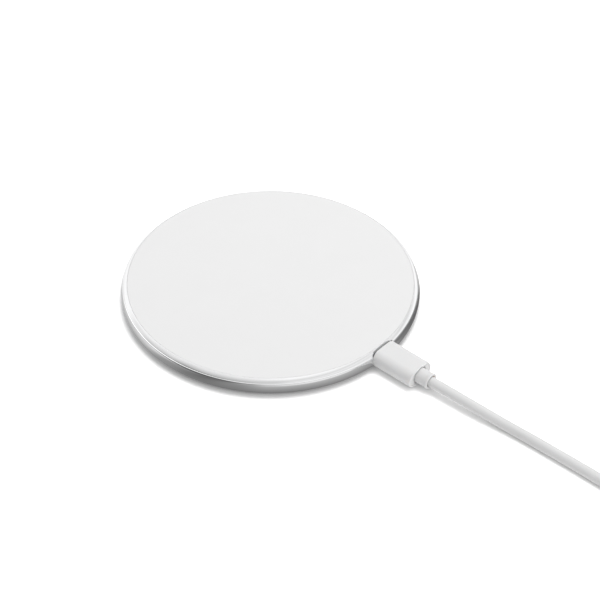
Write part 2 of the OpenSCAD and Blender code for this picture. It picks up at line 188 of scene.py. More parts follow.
def vertex_normals(mesh):
    """The custom normals of a mesh whose vertices each have one."""
    loops = np.zeros(len(mesh.loops) * 3, np.float32)
    mesh.corner_normals.foreach_get("vector", loops)
    index = np.zeros(len(mesh.loops), np.int32)
    mesh.loops.foreach_get("vertex_index", index)
    out = np.zeros((len(mesh.vertices), 3))
    np.add.at(out, index, loops.reshape(-1, 3))
    return out / np.maximum(np.linalg.norm(out, axis=1)[:, None], 1e-9)


def surface_of(obj):
    """A search tree over a mesh's triangles, with what is needed to read its smooth normals."""
    mesh = obj.data
    mesh.calc_loop_triangles()
    tris = [tuple(t.vertices) for t in mesh.loop_triangles]
    co = [v.co.copy() for v in mesh.vertices]
    return BVHTree.FromPolygons(co, tris), tris, co, vertex_normals(mesh)


def normal_at(surface, p):
    tree, tris, co, norm = surface
    place, _, index, _ = tree.find_nearest(p)
    a, b, c = tris[index]
    e0, e1, e2 = co[b] - co[a], co[c] - co[a], place - co[a]
    d00, d01, d11, d20, d21 = e0.dot(e0), e0.dot(e1), e1.dot(e1), e2.dot(e0), e2.dot(e1)
    det = d00 * d11 - d01 * d01
    if abs(det) < 1e-24:
        return Vector(norm[a])
    v = (d11 * d20 - d01 * d21) / det
    w = (d00 * d21 - d01 * d20) / det
    return Vector(norm[a] * (1 - v - w) + norm[b] * v + norm[c] * w).normalized()


def cut_away(obj, cutters):
    """Takes the cutters from obj, and gives every face the smooth normals of the surface that it came from."""
    surfaces = [(surface_of(obj), 1.0)] + [(surface_of(c), -1.0) for c in cutters]
    for c in cutters:
        m = obj.modifiers.new("cut", "BOOLEAN")
        m.operation, m.solver, m.object = "DIFFERENCE", "EXACT", c
    bpy.context.view_layer.update()
    got = bpy.data.meshes.new_from_object(
        obj.evaluated_get(bpy.context.evaluated_depsgraph_get())
    )
    obj.modifiers.clear()
    obj.data = got
    for c in cutters:
        bpy.data.objects.remove(c)
    bm = bmesh.new()
    bm.from_mesh(got)
    bmesh.ops.remove_doubles(bm, verts=bm.verts, dist=2e-7)
    bmesh.ops.dissolve_degenerate(bm, edges=bm.edges, dist=1e-7)
    bm.to_mesh(got)
    bm.free()
    got.polygons.foreach_set("use_smooth", [True] * len(got.polygons))
    normals = [None] * len(got.loops)
    for face in got.polygons:
        centre, best = face.center, None
        for s, sign in surfaces:
            place, normal, _, far = s[0].find_nearest(centre)
            off = far + 2e-4 * max(0.0, 0.9 - sign * normal.dot(face.normal))
            if best is None or off < best[0]:
                best = (off, s, sign)
        for li in face.loop_indices:
            p = got.vertices[got.loops[li].vertex_index].co
            n = normal_at(best[1], p) * best[2]
            if n.dot(face.normal) < 0.8:
                n = face.normal
            normals[li] = tuple(n)
    got.normals_split_custom_set(normals)
    return obj


def lathe_z(name, profile, centre=(0, 0), segs=360, closed=True, caps=(False, False)):
    pts, nrm = rounded(profile, closed=closed)
    v, f, n = sweep(
        pts, nrm, corners_of("circle", segs=segs),
        lambda a, b, z: (centre[0] + a, centre[1] + b, z), closed, caps,
    )
    return make_object(name, v, f, n)


def along(axis, start, z):
    """place() for a shape along +X, +Y or -Y: start is where along is 0, (x, y)."""
    if axis == "x":
        return lambda a, b, t: (start[0] + t, start[1] + a, z + b)
    sign = 1 if axis == "y" else -1
    return lambda a, b, t: (start[0] + a, start[1] + sign * t, z + b)


# ---------------------------------------------------------------- the cord's route

PORT_Z = 3.25
CORD_R = 1.75
HANK = (152.0, 27.4)
TIE_AT = 90.0

RUN = [
    (68.2, 0, 3.25), (71, 0, 3.25), (74, 0, 3.25), (78, 0.1, 3.2), (82, 0.2, 3.1),
    (86, 0.4, 2.9), (90, 0.7, 2.6), (94, 1.0, 2.3), (98, 1.3, 2.0), (103, 1.6, 1.8),
    (109, 1.8, 1.77), (116, 1.9, 1.76), (123, 2, 1.76), (130, 2, 1.76), (137, 2, 1.76),
    (144, 2, 1.76),
]
TAIL = [
    (168, 8.6, 5.3), (172, 10.3, 5.1), (176, 12.3, 4.7), (179.5, 14.7, 4.2),
    (182.5, 17.6, 3.8), (185, 21.0, 3.5), (187, 24.8, 3.4), (188.3, 28.6, 3.5),
    (188.9, 32.5, 3.7), (189, 35.2, 3.8),
]


def ease(t):
    t = min(1.0, max(0.0, t))
    return t * t * (3 - 2 * t)


def coil_point(turned):
    """A point of the stored coil, after that many degrees of turning."""
    lower, upper = 1.76, 4.76
    k, part = int(turned // 360), turned % 360
    if turned < 1080:  # three turns inwards on the table
        r, z = 25.4 - 3.6 * k - 3.6 * ease((part - 290) / 50), lower
    elif turned < 1440:  # the fourth, which climbs
        s = min(1.0, max(0.0, (part - 195) / 90))
        r, z = 14.6 + 1.8 * s * s, lower + (upper - lower) * (1 - (1 - s) ** 2)
    else:  # three turns outwards on top of them
        k = min(k - 4, 2)
        r = 16.4 + 3.6 * k + (3.6 * ease((part - 290) / 50) if k < 2 else 0)
        z = upper
    if turned > 1350 and 250 < part:
        z += 0.55 * ease((part - 250) / 30) * ease((360 - part) / 20)
    angle = -90 + turned
    near = abs((angle - TIE_AT + 180) % 360 - 180)
    z += 0.8 * (1 - ease((near - 13) / 26))
    a = math.radians(angle)
    return (HANK[0] + r * math.cos(a), HANK[1] + r * math.sin(a), z)


def catmull(points, per):
    """A smooth line through points, with that many steps between each two."""
    p = np.array(points, float)
    p = np.vstack([2 * p[0] - p[1], p, 2 * p[-1] - p[-2]])
    out = []
    for i in range(1, len(p) - 2):
        a, b, c, d = p[i - 1 : i + 3]
        for j in range(per):
            t = j / per
            out.append(
                0.5 * (2 * b + (c - a) * t + (2 * a - 5 * b + 4 * c - d) * t * t
                       + (3 * b - a - 3 * c + d) * t ** 3)
            )
    out.append(p[-2])
    return np.array(out)


def resampled(line, step):
    far = np.concatenate([[0], np.cumsum(np.linalg.norm(np.diff(line, axis=0), axis=1))])
    at = np.linspace(0, far[-1], math.ceil(far[-1] / step) + 1)
    return np.stack([np.interp(at, far, line[:, k]) for k in range(3)], axis=1), far[-1]


coil_points = [coil_point(t) for t in np.arange(8, 2540, 9.0)]
ROUTE, CORD_LENGTH = resampled(catmull(RUN + coil_points + TAIL, 8), 0.75)


def tube(name, line, radius, sides=32):
    tangents = np.gradient(line, axis=0)
    tangents /= np.linalg.norm(tangents, axis=1)[:, None]
    side = np.cross([0, 0, 1.0], tangents[0])
    side /= np.linalg.norm(side)
    verts, norms, faces = [], [], []
    for p, t in zip(line, tangents):
        side = side - t * (side @ t)
        side /= np.linalg.norm(side)
        up = np.cross(t, side)
        for k in range(sides):
            a = 2 * math.pi * (k + 0.5) / sides
            n = math.cos(a) * side + math.sin(a) * up
            verts.append(p + radius * n)
            norms.append(n)
    for i in range(len(line) - 1):
        for k in range(sides):
            l = (k + 1) % sides
            faces.append((i * sides + k, i * sides + l, (i + 1) * sides + l, (i + 1) * sides + k))
    faces.append(tuple(range(sides))[::-1])
    last = (len(line) - 1) * sides
    faces.append(tuple(range(last, last + sides)))
    obj = make_object(name, verts, faces, norms)
    # how far along the cord and how far round it, for its material
    uv = obj.data.uv_layers.new(name="cord")
    far = np.concatenate([[0], np.cumsum(np.linalg.norm(np.diff(line, axis=0), axis=1))])
    for f in obj.data.polygons:
        seam = any(obj.data.loops[l].vertex_index % sides == 0 for l in f.loop_indices) and any(
            obj.data.loops[l].vertex_index % sides == sides - 1 for l in f.loop_indices
        )
        for l in f.loop_indices:
            i = obj.data.loops[l].vertex_index
            k = i % sides + (sides if seam and i % sides == 0 else 0)
            uv.data[l].uv = (far[i // sides] / 1000, 2 * math.pi * radius * k / sides / 1000)
    return obj


cord = tube("cord", ROUTE, CORD_R)

# ---------------------------------------------------------------- the pad


def wall_r(z):
    return 50 - 0.44 * (abs(z - 3.0) / 1.74) ** 2


def crowned(a, b, rise, n):
    """Points between a and b on a shallow arc that stands rise proud of the straight line."""
    (ar, az), (br, bz) = a, b
    d = math.hypot(br - ar, bz - az)
    nr, nz = (bz - az) / d, -(br - ar) / d
    if nr < 0:
        nr, nz = -nr, -nz
    out = []
    for i in range(1, n):
        t = i / n
        h = 4 * rise * t * (1 - t)
        out.append((ar + (br - ar) * t + nr * h, az + (bz - az) * t + nz * h))
    return out


def make_rim():
    # a flush lip, a cut bevel with a crown, a fine turned land at its foot, and the bulging wall
    top = [(48.0, 6.2, 0.03), (48.12, 6.2, 0.05)]
    chamfer = crowned((48.14, 6.19), (49.39, 4.90), 0.07, 16)
    chamfer += [(49.37, 4.91, 0.03), (49.55, 4.83, 0.05)]
    wall = [(wall_r(z), z) for z in np.linspace(4.72, 1.0, 34)]
    foot = [
        (49.18, 0.72, 0.1), (48.9, 0.6, 0.1), (47.1, 0.6, 0.05), (47.1, 4.4, 0.05),
        (45.6, 4.4, 0.05), (45.6, 5.05, 0.05), (48.0, 5.05, 0.04),
    ]
    profile = top + chamfer + [(*wall[0], 0.03)] + wall[1:] + foot
    ring = lathe_z("rim_ring_polished", profile, segs=720)
    notch = cutter_stadium(4.6 / 2, 3.32, 48.62, 53.0, y=-0.06)
    # the rim's edge rolls over into the notch, above the plug
    pts, nrm = rounded([
        (48.56, 2.0), (53.0, 2.0), (53.0, 6.4), (48.05, 6.4), (48.13, 6.2, 0.12),
        (48.43, 5.72, 0.35), (48.56, 5.1, 0.3),
    ], closed=True, step=5)
    count = len(pts)
    verts = [(x, y, z) for y in (-4.25, 3.9) for x, z in pts]
    norms = [Vector((nx, 0, nz)) for _ in range(2) for nx, nz in nrm]
    faces = [(i, (i + 1) % count, count + (i + 1) % count, count + i) for i in range(count)]
    faces += [tuple(range(count))[::-1], tuple(range(count, 2 * count))]
    roll = make_object("cutter", verts, faces, norms)
    port = cutter_stadium((9.04 - 3.26) / 2, 1.63, 44.0, 49.0)
    return cut_away(ring, [notch, roll, port])


def cutter_stadium(straight, radius, x0, x1, z=PORT_Z, y=0.0):
    pts, nrm = rounded([(radius, x0), (radius, x1)])
    v, f, n = sweep(
        pts, nrm, corners_of("stadium", straight, segs=128), along("x", (0, y), z),
        closed=False, caps=(True, True),
    )
    return make_object("cutter", v, f, n)


rim = make_rim()

plate = lathe_z(
    "top_plate_face",
    [(6.0, 6.2), (16.0, 6.2), (30.0, 6.2), (42.0, 6.2), (47.0, 6.2), (47.95, 6.2, 0.05),
     (47.95, 5.2, 0.05), (30.0, 5.2), (6.0, 5.2)],
    segs=360, closed=False, caps=(True, True),
)

# the foot ring, with shallow grooves turned into its sole
sole = [(33.1, 0.9, 0.02), (33.1, 0.0, 0.2)]
for k in range(6):
    r = 34.4 + 1.46 * k
    sole += [(r, 0.0, 0.06), (r + 0.12, 0.16, 0.05), (r + 0.38, 0.16, 0.05), (r + 0.5, 0.0, 0.06)]
sole += [(42.9, 0.0, 0.2), (42.9, 0.9, 0.02)]
foot_ring = lathe_z("foot_ring", sole, segs=360)

# ---------------------------------------------------------------- the plug

PLUG_X, PLUG_END = 49.1, 64.7


def moulded_body(name, w, t, length, lead, rear, place, segs=128):
    """A moulded body with a stadium section, and a rear face set in behind a rounded rim."""
    half = t / 2
    prof = [
        (0.5, 0.0), (half, 0.0, lead), (half, length * 0.33), (half, length * 0.66),
        (half, length, rear), (half - 0.62, length, 0.12), (half - 0.78, length - 0.25, 0.12),
        (0.5, length - 0.25),
    ]
    pts, nrm = rounded(prof, step=8)
    outline = corners_of("stadium", (w - t) / 2, segs=segs)
    v, f, n = sweep(pts, nrm, outline, place, closed=False, caps=(True, True))
    return make_object(name, v, f, n)


overmould = moulded_body(
    "plug_overmould_body", 11.0, 6.4, 15.6, 0.28, 0.42, along("x", (PLUG_X, 0), PORT_Z)
)
recess_pts, recess_nrm = rounded([(3.08, -0.75), (3.08, 1.5)])
v, f, n = sweep(recess_pts, recess_nrm, corners_of("circle", segs=96),
                along("x", (PLUG_END, 0), PORT_Z), closed=False, caps=(True, True))
recess = make_object("cutter", v, f, n)
pocket = cutter_stadium((8.25 - 2.4) / 2, 1.2, PLUG_X - 1, PLUG_X + 5)
cut_away(overmould, [recess, pocket])


def collar(name, place, length):
    """Round strain relief: root, waist, lip, and the socket that the cord goes into."""
    r = 2.65
    profile = [
        (0.4, 0.0), (r + 0.12, 0.0, 0.1), (r + 0.02, 0.75, 0.3), (r - 0.02, length * 0.45, 2),
        (r, length - 1.05, 0.3), (r + 0.11, length - 0.78, 0.12), (r + 0.12, length - 0.2, 0.14),
        (r - 0.12, length, 0.14), (CORD_R + 0.32, length, 0.12), (CORD_R + 0.2, length - 1.0, 0.06),
        (0.4, length - 1.0),
    ]
    pts, nrm = rounded(profile, step=8)
    v, f, n = sweep(pts, nrm, corners_of("circle", segs=96), place, closed=False, caps=(True, True))
    return make_object(name, v, f, n)


strain = collar("plug_strain_relief_collar", along("x", (PLUG_END - 0.5, 0), PORT_Z), 5.0)


def drawn_shell(name, outline, half, wall, length, place, lip=0.12):
    """Thin metal shell, open at its tip (along = 0) and its root."""
    profile = [
        (half, 0.0, lip), (half, length, 0.03), (half - wall, length, 0.03),
        (half - wall, 0.0, lip * 0.9),
    ]
    pts, nrm = rounded(profile, closed=True, step=10)
    v, f, n = sweep(pts, nrm, outline, place, closed=True)
    return make_object(name, v, f, n)


plug_shell = drawn_shell(
    "plug_shell_drawn", corners_of("stadium", (8.25 - 2.4) / 2, segs=96), 1.2, 0.25, 11.65,
    along("x", (42.45, 0), PORT_Z),
)

# ---------------------------------------------------------------- the far plug

A_X, A_Z, A_BODY_Y = 189.0, 3.8, 40.5
a_overmould = moulded_body(
    "usb_a_overmould_body", 15.6, 7.6, 19.0, 1.0, 0.6, along("y", (A_X, A_BODY_Y), A_Z)
)
a_pocket_outline = corners_of("rect", 6.0 - 0.6, 2.25 - 0.6, segs=48)
pts, nrm = rounded([(0.6, 13.0), (0.6, 20.0)])
v, f, n = sweep(pts, nrm, a_pocket_outline, along("y", (A_X, A_BODY_Y), A_Z), closed=False, caps=(True, True))
cut_away(a_overmould, [make_object("cutter", v, f, n)])
a_strain = collar("usb_a_strain_relief_collar", along("-y", (A_X, A_BODY_Y + 1), A_Z), 6.5)
a_shell = drawn_shell(
    "usb_a_shell_folded", corners_of("rect", 6.0 - 0.6, 2.25 - 0.6, segs=48), 0.6, 0.3, 17.8,
    along("-y", (A_X, 71.3), A_Z),
)


def block(a, b, name="cutter"):
    bm = bmesh.new()
    bmesh.ops.create_cube(bm, size=1)
    for vert in bm.verts:
        vert.co = Vector(
            [(a[k] + b[k]) / 2 + vert.co[k] * (b[k] - a[k]) for k in range(3)]
        ) * MM
    mesh = bpy.data.meshes.new(name)
    bm.to_mesh(mesh)
    bm.free()
    obj = bpy.data.objects.new(name, mesh)
    scene.collection.objects.link(obj)
    return obj


windows = []
for s in (-1, 1):
    for up in (-1, 1):
        windows.append(block(
            (A_X + s * 2.8 - 1.2, A_BODY_Y + 19 + 4.5, A_Z + up * 2.2 - 0.6),
            (A_X + s * 2.8 + 1.2, A_BODY_Y + 19 + 6.7, A_Z + up * 2.2 + 0.6),
        ))
cut_away(a_shell, windows)

# ---------------------------------------------------------------- the tie


def strap_loop():
    """The woven strap round the coil, with its free end folded over the top."""
    y0, y1, t = 12.2, 27.3, 0.8
    inner = [
        (y0, 0.8, 0.9), (y1, 0.8, 0.9), (y1, 7.4, 1.9), (y0, 7.4, 1.9),
    ]
    pts, nrm = rounded(inner, closed=True, step=6)
    half = 3.5
    # section of the strap: flat, with soft edges
    section, snorm = rounded(
        [(-half, 0.0, 0.28), (half, 0.0, 0.28), (half, t, 0.32), (-half, t, 0.32)],
        closed=True, step=20,
    )
    verts, norms, faces = [], [], []
    m, n = len(section), len(pts)
    for (y, z), (ny, nz) in zip(pts, nrm):
        for (x, h), (sx, sh) in zip(section, snorm):
            verts.append((HANK[0] + x, HANK[1] + y + ny * h, z + nz * h))
            norms.append(Vector((sx, ny * sh, nz * sh)))
    for i in range(n):
        for k in range(m):
            j, l = (i + 1) % n, (k + 1) % m
            faces.append((i * m + k, i * m + l, j * m + l, j * m + k))
    # the free end: a strip that lies flat on the loop and narrows a little towards its tip
    base = len(verts)
    steps = 24
    for i in range(steps + 1):
        y = 25.3 - 9.1 * i / steps
        lift = 0.0
        taper = 1 - 0.14 * ease((i / steps - 0.82) / 0.18)
        for (x, h), (sx, sh) in zip(section, snorm):
            verts.append((HANK[0] + x * 0.857 * taper, HANK[1] + y, 8.19 + lift + h))
            norms.append(Vector((sx, 0, sh)))
    for i in range(steps):
        for k in range(m):
            l = (k + 1) % m
            faces.append((base + i * m + k, base + i * m + l, base + (i + 1) * m + l, base + (i + 1) * m + k))
    faces.append(tuple(base + k for k in range(m)))
    faces.append(tuple(base + steps * m + k for k in range(m))[::-1])
    obj = make_object("cable_tie_strap", verts, faces)
    return obj


tie = strap_loop()

# ---------------------------------------------------------------- materials


class Material:
    """A node material whose colour, roughness and bump come from patterns in the part's own coordinates."""

    def __init__(self, name, color, rough, metallic=0.0, **sockets):
        self.m = bpy.data.materials.new(name)
        self.m.use_nodes = True
        self.t = self.m.node_tree
        self.b = self.t.nodes["Principled BSDF"]
        self.b.inputs["Base Color"].default_value = (*color, 1)
        self.b.inputs["Roughness"].default_value = rough
        self.b.inputs["Metallic"].default_value = metallic
        for k, val in sockets.items():
            self.b.inputs[k.replace("_", " ")].default_value = val
        self.color, self.rough = color, rough
        self.coords = self.node("ShaderNodeTexCoord").outputs["Object"]
        self.normal = None

    def node(self, kind, **props):
        n = self.t.nodes.new(kind)
        for k, val in props.items():
            setattr(n, k, val)
        return n

    def link(self, a, b):
        self.t.links.new(a, b)

    def math(self, op, a, b=None, c=None):
        n = self.node("ShaderNodeMath", operation=op)
        for i, x in enumerate((a, b, c)):
            if x is None:
                continue
            if isinstance(x, (int, float)):
                n.inputs[i].default_value = x
            else:
                self.link(x, n.inputs[i])
        return n.outputs[0]

    def remap(self, x, a0, a1, b0, b1):
        n = self.node("ShaderNodeMapRange", interpolation_type="SMOOTHSTEP")
        self.link(x, n.inputs["Value"])
        for k, val in zip(("From Min", "From Max", "To Min", "To Max"), (a0, a1, b0, b1)):
            n.inputs[k].default_value = val
        return n.outputs[0]

    def noise(self, scale, detail=3.0, rough=0.55, vector=None, distortion=0.0):
        n = self.node("ShaderNodeTexNoise")
        n.inputs["Scale"].default_value = scale
        n.inputs["Detail"].default_value = detail
        n.inputs["Roughness"].default_value = rough
        n.inputs["Distortion"].default_value = distortion
        self.link(vector if vector is not None else self.coords, n.inputs["Vector"])
        return n.outputs["Fac"]

    def stretched(self, sx, sy, sz):
        n = self.node("ShaderNodeMapping")
        n.inputs["Scale"].default_value = (sx, sy, sz)
        self.link(self.coords, n.inputs["Vector"])
        return n.outputs["Vector"]

    def around(self, turn, out):
        """Coordinates whose patterns run round the pad's axis: turn sets how long they are, and out how fine across."""
        sep = self.node("ShaderNodeSeparateXYZ")
        self.link(self.coords, sep.inputs[0])
        x, y, z = sep.outputs
        r = self.math("SQRT", self.math("ADD", self.math("MULTIPLY", x, x), self.math("MULTIPLY", y, y)))
        r = self.math("MAXIMUM", r, 1e-5)
        com = self.node("ShaderNodeCombineXYZ")
        self.link(self.math("MULTIPLY", self.math("DIVIDE", x, r), turn), com.inputs[0])
        self.link(self.math("MULTIPLY", self.math("DIVIDE", y, r), turn), com.inputs[1])
        self.link(self.math("MULTIPLY", self.math("ADD", r, self.math("MULTIPLY", z, 1.7)), out), com.inputs[2])
        return com.outputs[0]

    def vary_color(self, fac, other, low=0.35, high=0.65):
        """The colour goes from its own to other as the pattern rises."""
        mix = self.node("ShaderNodeMix", data_type="RGBA")
        self.link(self.remap(fac, low, high, 0, 1), mix.inputs["Factor"])
        last = self.b.inputs["Base Color"]
        if last.is_linked:
            self.link(last.links[0].from_socket, mix.inputs["A"])
        else:
            mix.inputs["A"].default_value = (*self.color, 1)
        mix.inputs["B"].default_value = (*other, 1)
        self.link(mix.outputs["Result"], last)
        return self

    def vary_rough(self, fac, low, high, a=0.3, b=0.7):
        self.link(self.remap(fac, a, b, low, high), self.b.inputs["Roughness"])
        return self

    def bump(self, height, distance, strength=1.0):
        n = self.node("ShaderNodeBump")
        n.inputs["Strength"].default_value = strength
        n.inputs["Distance"].default_value = distance
        self.link(height, n.inputs["Height"])
        if self.normal is not None:
            self.link(self.normal, n.inputs["Normal"])
        self.normal = n.outputs["Normal"]
        self.link(self.normal, self.b.inputs["Normal"])
        return self


def tone(c, k):
    return tuple(min(1.0, max(0.0, x * k)) for x in c)


def plastic(name, color, rough, grain=2500.0, depth=4e-6, spread=0.05, uneven=0.025,
            wave=6e-6, **sockets):
    """Moulded plastic: a fine spark-eroded grain, slow waviness, and a little unevenness of tone and gloss."""
    m = Material(name, color, rough, **sockets)
    fine = m.noise(grain, 4, 0.6)
    slow = m.noise(90, 2, 0.5)
    m.vary_color(slow, tone(color, 1 - uneven))
    m.vary_color(fine, tone(color, 1 - 0.6 * uneven), 0.45, 0.8)
    m.vary_rough(m.math("ADD", m.math("MULTIPLY", slow, 0.6), m.math("MULTIPLY", fine, 0.4)),
                 rough - spread, rough + spread)
    m.bump(fine, depth).bump(m.noise(420, 2, 0.5), wave, 0.35)
    return m


def metal(name, color, rough, spread=0.04, streak=None, depth=1e-6, **sockets):
    m = Material(name, color, rough, 1.0, **sockets)
    fine = m.noise(1.0, 4, 0.6, vector=streak(m)) if streak else m.noise(3000, 4, 0.6)
    slow = m.noise(160, 2, 0.5)
    m.vary_color(slow, tone(color, 0.96))
    m.vary_rough(m.math("ADD", m.math("MULTIPLY", slow, 0.5), m.math("MULTIPLY", fine, 0.5)),
                 max(0.02, rough - spread), rough + spread)
    m.bump(fine, depth, 0.6)
    return m


MATS = {}


def build_materials():
    # the white top plate: a soft-touch paint with a very fine grain
    m = plastic("plate_white", (0.832, 0.832, 0.832), 0.44, grain=5200, depth=2.5e-6, spread=0.025,
                uneven=0.006, wave=2e-6)
    MATS["plate_white"] = m
    # the polished rim: turned, then polished, with hairlines round it
    m = Material("polished_metal", (0.93, 0.932, 0.935), 0.07, 1.0)
    hair = m.noise(1.0, 5, 0.65, vector=m.around(9.0, 5200.0))
    slow = m.noise(70, 2, 0.5)
    m.vary_color(slow, (0.905, 0.908, 0.913))
    m.vary_rough(m.math("ADD", m.math("MULTIPLY", hair, 0.6), m.math("MULTIPLY", slow, 0.4)), 0.045, 0.11)
    m.bump(hair, 4e-7, 0.5)
    MATS["polished_metal"] = m
    MATS["frame_plastic"] = plastic("frame_plastic", (0.72, 0.72, 0.72), 0.5)
    m = plastic("cover_plastic", (0.76, 0.76, 0.765), 0.5, grain=3200, depth=8e-6)
    MATS["cover_plastic"] = m
    m = plastic("silicone", (0.60, 0.60, 0.61), 0.62, grain=1800, depth=7e-6, spread=0.08)
    m.vary_color(m.noise(900, 4, 0.7), (0.66, 0.655, 0.64), 0.62, 0.74)  # settled dust
    MATS["silicone"] = m
    m = plastic("tape", (0.03, 0.03, 0.032), 0.55, grain=1400, depth=1e-5)
    MATS["tape"] = m
    MATS["steel"] = metal("steel", (0.66, 0.66, 0.67), 0.24,
                          streak=lambda s: s.stretched(500, 6000, 6000), depth=1.5e-6)
    MATS["black_steel"] = metal("black_steel", (0.06, 0.06, 0.065), 0.38)
    # litz wire: fine strands that lie round the coil and twist over each other
    m = Material("litz_copper", (0.72, 0.34, 0.15), 0.34, 1.0)
    strands = m.node("ShaderNodeTexWave", wave_type="BANDS", bands_direction="Z")
    strands.inputs["Scale"].default_value = 1.0
    strands.inputs["Distortion"].default_value = 2.2
    strands.inputs["Detail"].default_value = 2.0
    m.link(m.around(60.0, 1700.0), strands.inputs["Vector"])
    m.vary_color(strands.outputs["Fac"], (0.42, 0.16, 0.06), 0.2, 0.9)
    m.vary_color(m.noise(600, 3, 0.6), (0.80, 0.45, 0.22))
    m.vary_rough(strands.outputs["Fac"], 0.42, 0.28)
    m.bump(strands.outputs["Fac"], 4e-5)
    MATS["litz_copper"] = m
    m = plastic("adhesive", (0.72, 0.66, 0.40), 0.3, grain=700, depth=6e-6)
    m.vary_color(m.noise(250, 3, 0.6), (0.80, 0.76, 0.52))
    MATS["adhesive"] = m
    m = Material("ferrite", (0.045, 0.045, 0.048), 0.55)
    grains = m.node("ShaderNodeTexVoronoi", feature="F1")
    grains.inputs["Scale"].default_value = 4200
    m.link(m.coords, grains.inputs["Vector"])
    m.vary_color(grains.outputs["Distance"], (0.085, 0.083, 0.082), 0.2, 0.7)
    m.vary_rough(m.noise(800, 3, 0.6), 0.42, 0.66)
    m.bump(grains.outputs["Distance"], 6e-6)
    MATS["ferrite"] = m
    # solder mask over copper: square lanes of track, and lighter pads where it is bare
    m = Material("board_green", (0.012, 0.13, 0.055), 0.3)
    lanes = m.node("ShaderNodeTexBrick")
    lanes.inputs["Scale"].default_value = 260
    lanes.inputs["Mortar Size"].default_value = 0.05
    lanes.inputs["Color1"].default_value = (0.014, 0.16, 0.07, 1)
    lanes.inputs["Color2"].default_value = (0.008, 0.10, 0.045, 1)
    lanes.inputs["Mortar"].default_value = (0.004, 0.055, 0.028, 1)
    m.link(m.coords, lanes.inputs["Vector"])
    m.link(lanes.outputs["Color"], m.b.inputs["Base Color"])
    m.vary_color(m.noise(500, 3, 0.6), (0.02, 0.19, 0.09), 0.5, 0.8)
    m.vary_rough(m.noise(900, 3, 0.6), 0.24, 0.4)
    m.bump(lanes.outputs["Fac"], 1.5e-5, 0.6)
    MATS["board_green"] = m
    MATS["black_plastic"] = plastic("black_plastic", (0.016, 0.016, 0.017), 0.42)
    MATS["gold_contact"] = metal("gold_contact", (0.83, 0.60, 0.22), 0.2,
                                 streak=lambda s: s.stretched(400, 9000, 9000))
    MATS["chip_black"] = plastic("chip_black", (0.018, 0.018, 0.019), 0.5, grain=6000, depth=5e-6)
    m = plastic("capacitor_ceramic", (0.40, 0.29, 0.17), 0.4, grain=4000)
    m.vary_color(m.noise(1500, 3, 0.6), (0.47, 0.36, 0.22))
    MATS["capacitor_ceramic"] = m
    m = plastic("inductor_ferrite", (0.07, 0.07, 0.073), 0.5, grain=3600, depth=9e-6)
    MATS["inductor_ferrite"] = m
    MATS["wire_insulation"] = plastic("wire_insulation", (0.50, 0.012, 0.01), 0.35)
    m = plastic("thermal_silicone", (0.23, 0.28, 0.42), 0.6, grain=1500, depth=1e-5)
    MATS["thermal_silicone"] = m
    MATS["overmould_white"] = plastic(
        "overmould_white", (0.79, 0.79, 0.79), 0.4, grain=3800, depth=3e-6,
        Subsurface_Weight=0.12, Subsurface_Radius=(0.0009, 0.0008, 0.0007), Subsurface_Scale=1.0,
    )
    MATS["strain_white"] = plastic(
        "strain_white", (0.77, 0.77, 0.77), 0.46, grain=3200, depth=3e-6,
        Subsurface_Weight=0.12, Subsurface_Radius=(0.0009, 0.0008, 0.0007), Subsurface_Scale=1.0,
    )
    # the cord's jacket: extruded, so its unevenness runs along it
    m = Material("cord_white", (0.76, 0.76, 0.758), 0.46)
    m.coords = m.node("ShaderNodeUVMap", uv_map="cord").outputs["UV"]
    lines = m.noise(1.0, 3, 0.6, vector=m.stretched(260, 5200, 1))
    orange = m.noise(2600, 3, 0.6)
    slow = m.noise(45, 2, 0.5)
    m.vary_color(slow, (0.735, 0.735, 0.732))
    m.vary_rough(m.math("ADD", m.math("MULTIPLY", lines, 0.5), m.math("MULTIPLY", orange, 0.5)), 0.4, 0.54)
    m.bump(lines, 3e-6, 0.7).bump(orange, 2.5e-6, 0.7)
    MATS["cord_white"] = m
    # woven strap: over-and-under threads with a fuzzy face
    m = Material("strap_fabric", (0.70, 0.70, 0.70), 0.85, Sheen_Weight=0.35, Sheen_Roughness=0.5)
    weave = m.node("ShaderNodeTexWave", wave_type="BANDS", bands_direction="X")
    weave.inputs["Scale"].default_value = 420
    weave.inputs["Distortion"].default_value = 0.4
    m.link(m.coords, weave.inputs["Vector"])
    weft = m.node("ShaderNodeTexWave", wave_type="BANDS", bands_direction="DIAGONAL")
    weft.inputs["Scale"].default_value = 330
    weft.inputs["Distortion"].default_value = 0.6
    m.link(m.coords, weft.inputs["Vector"])
    cloth = m.math("MULTIPLY", weave.outputs["Fac"], weft.outputs["Fac"])
    fuzz = m.noise(5200, 4, 0.7)
    m.vary_color(cloth, (0.60, 0.60, 0.60), 0.55, 0.05)
    m.vary_color(fuzz, (0.76, 0.76, 0.76), 0.5, 0.8)
    m.vary_rough(fuzz, 0.78, 0.95)
    m.bump(cloth, 8e-5).bump(fuzz, 2e-5)
    MATS["strap_fabric"] = m
    MATS["white_plastic"] = plastic("white_plastic", (0.80, 0.80, 0.80), 0.3)


build_materials()

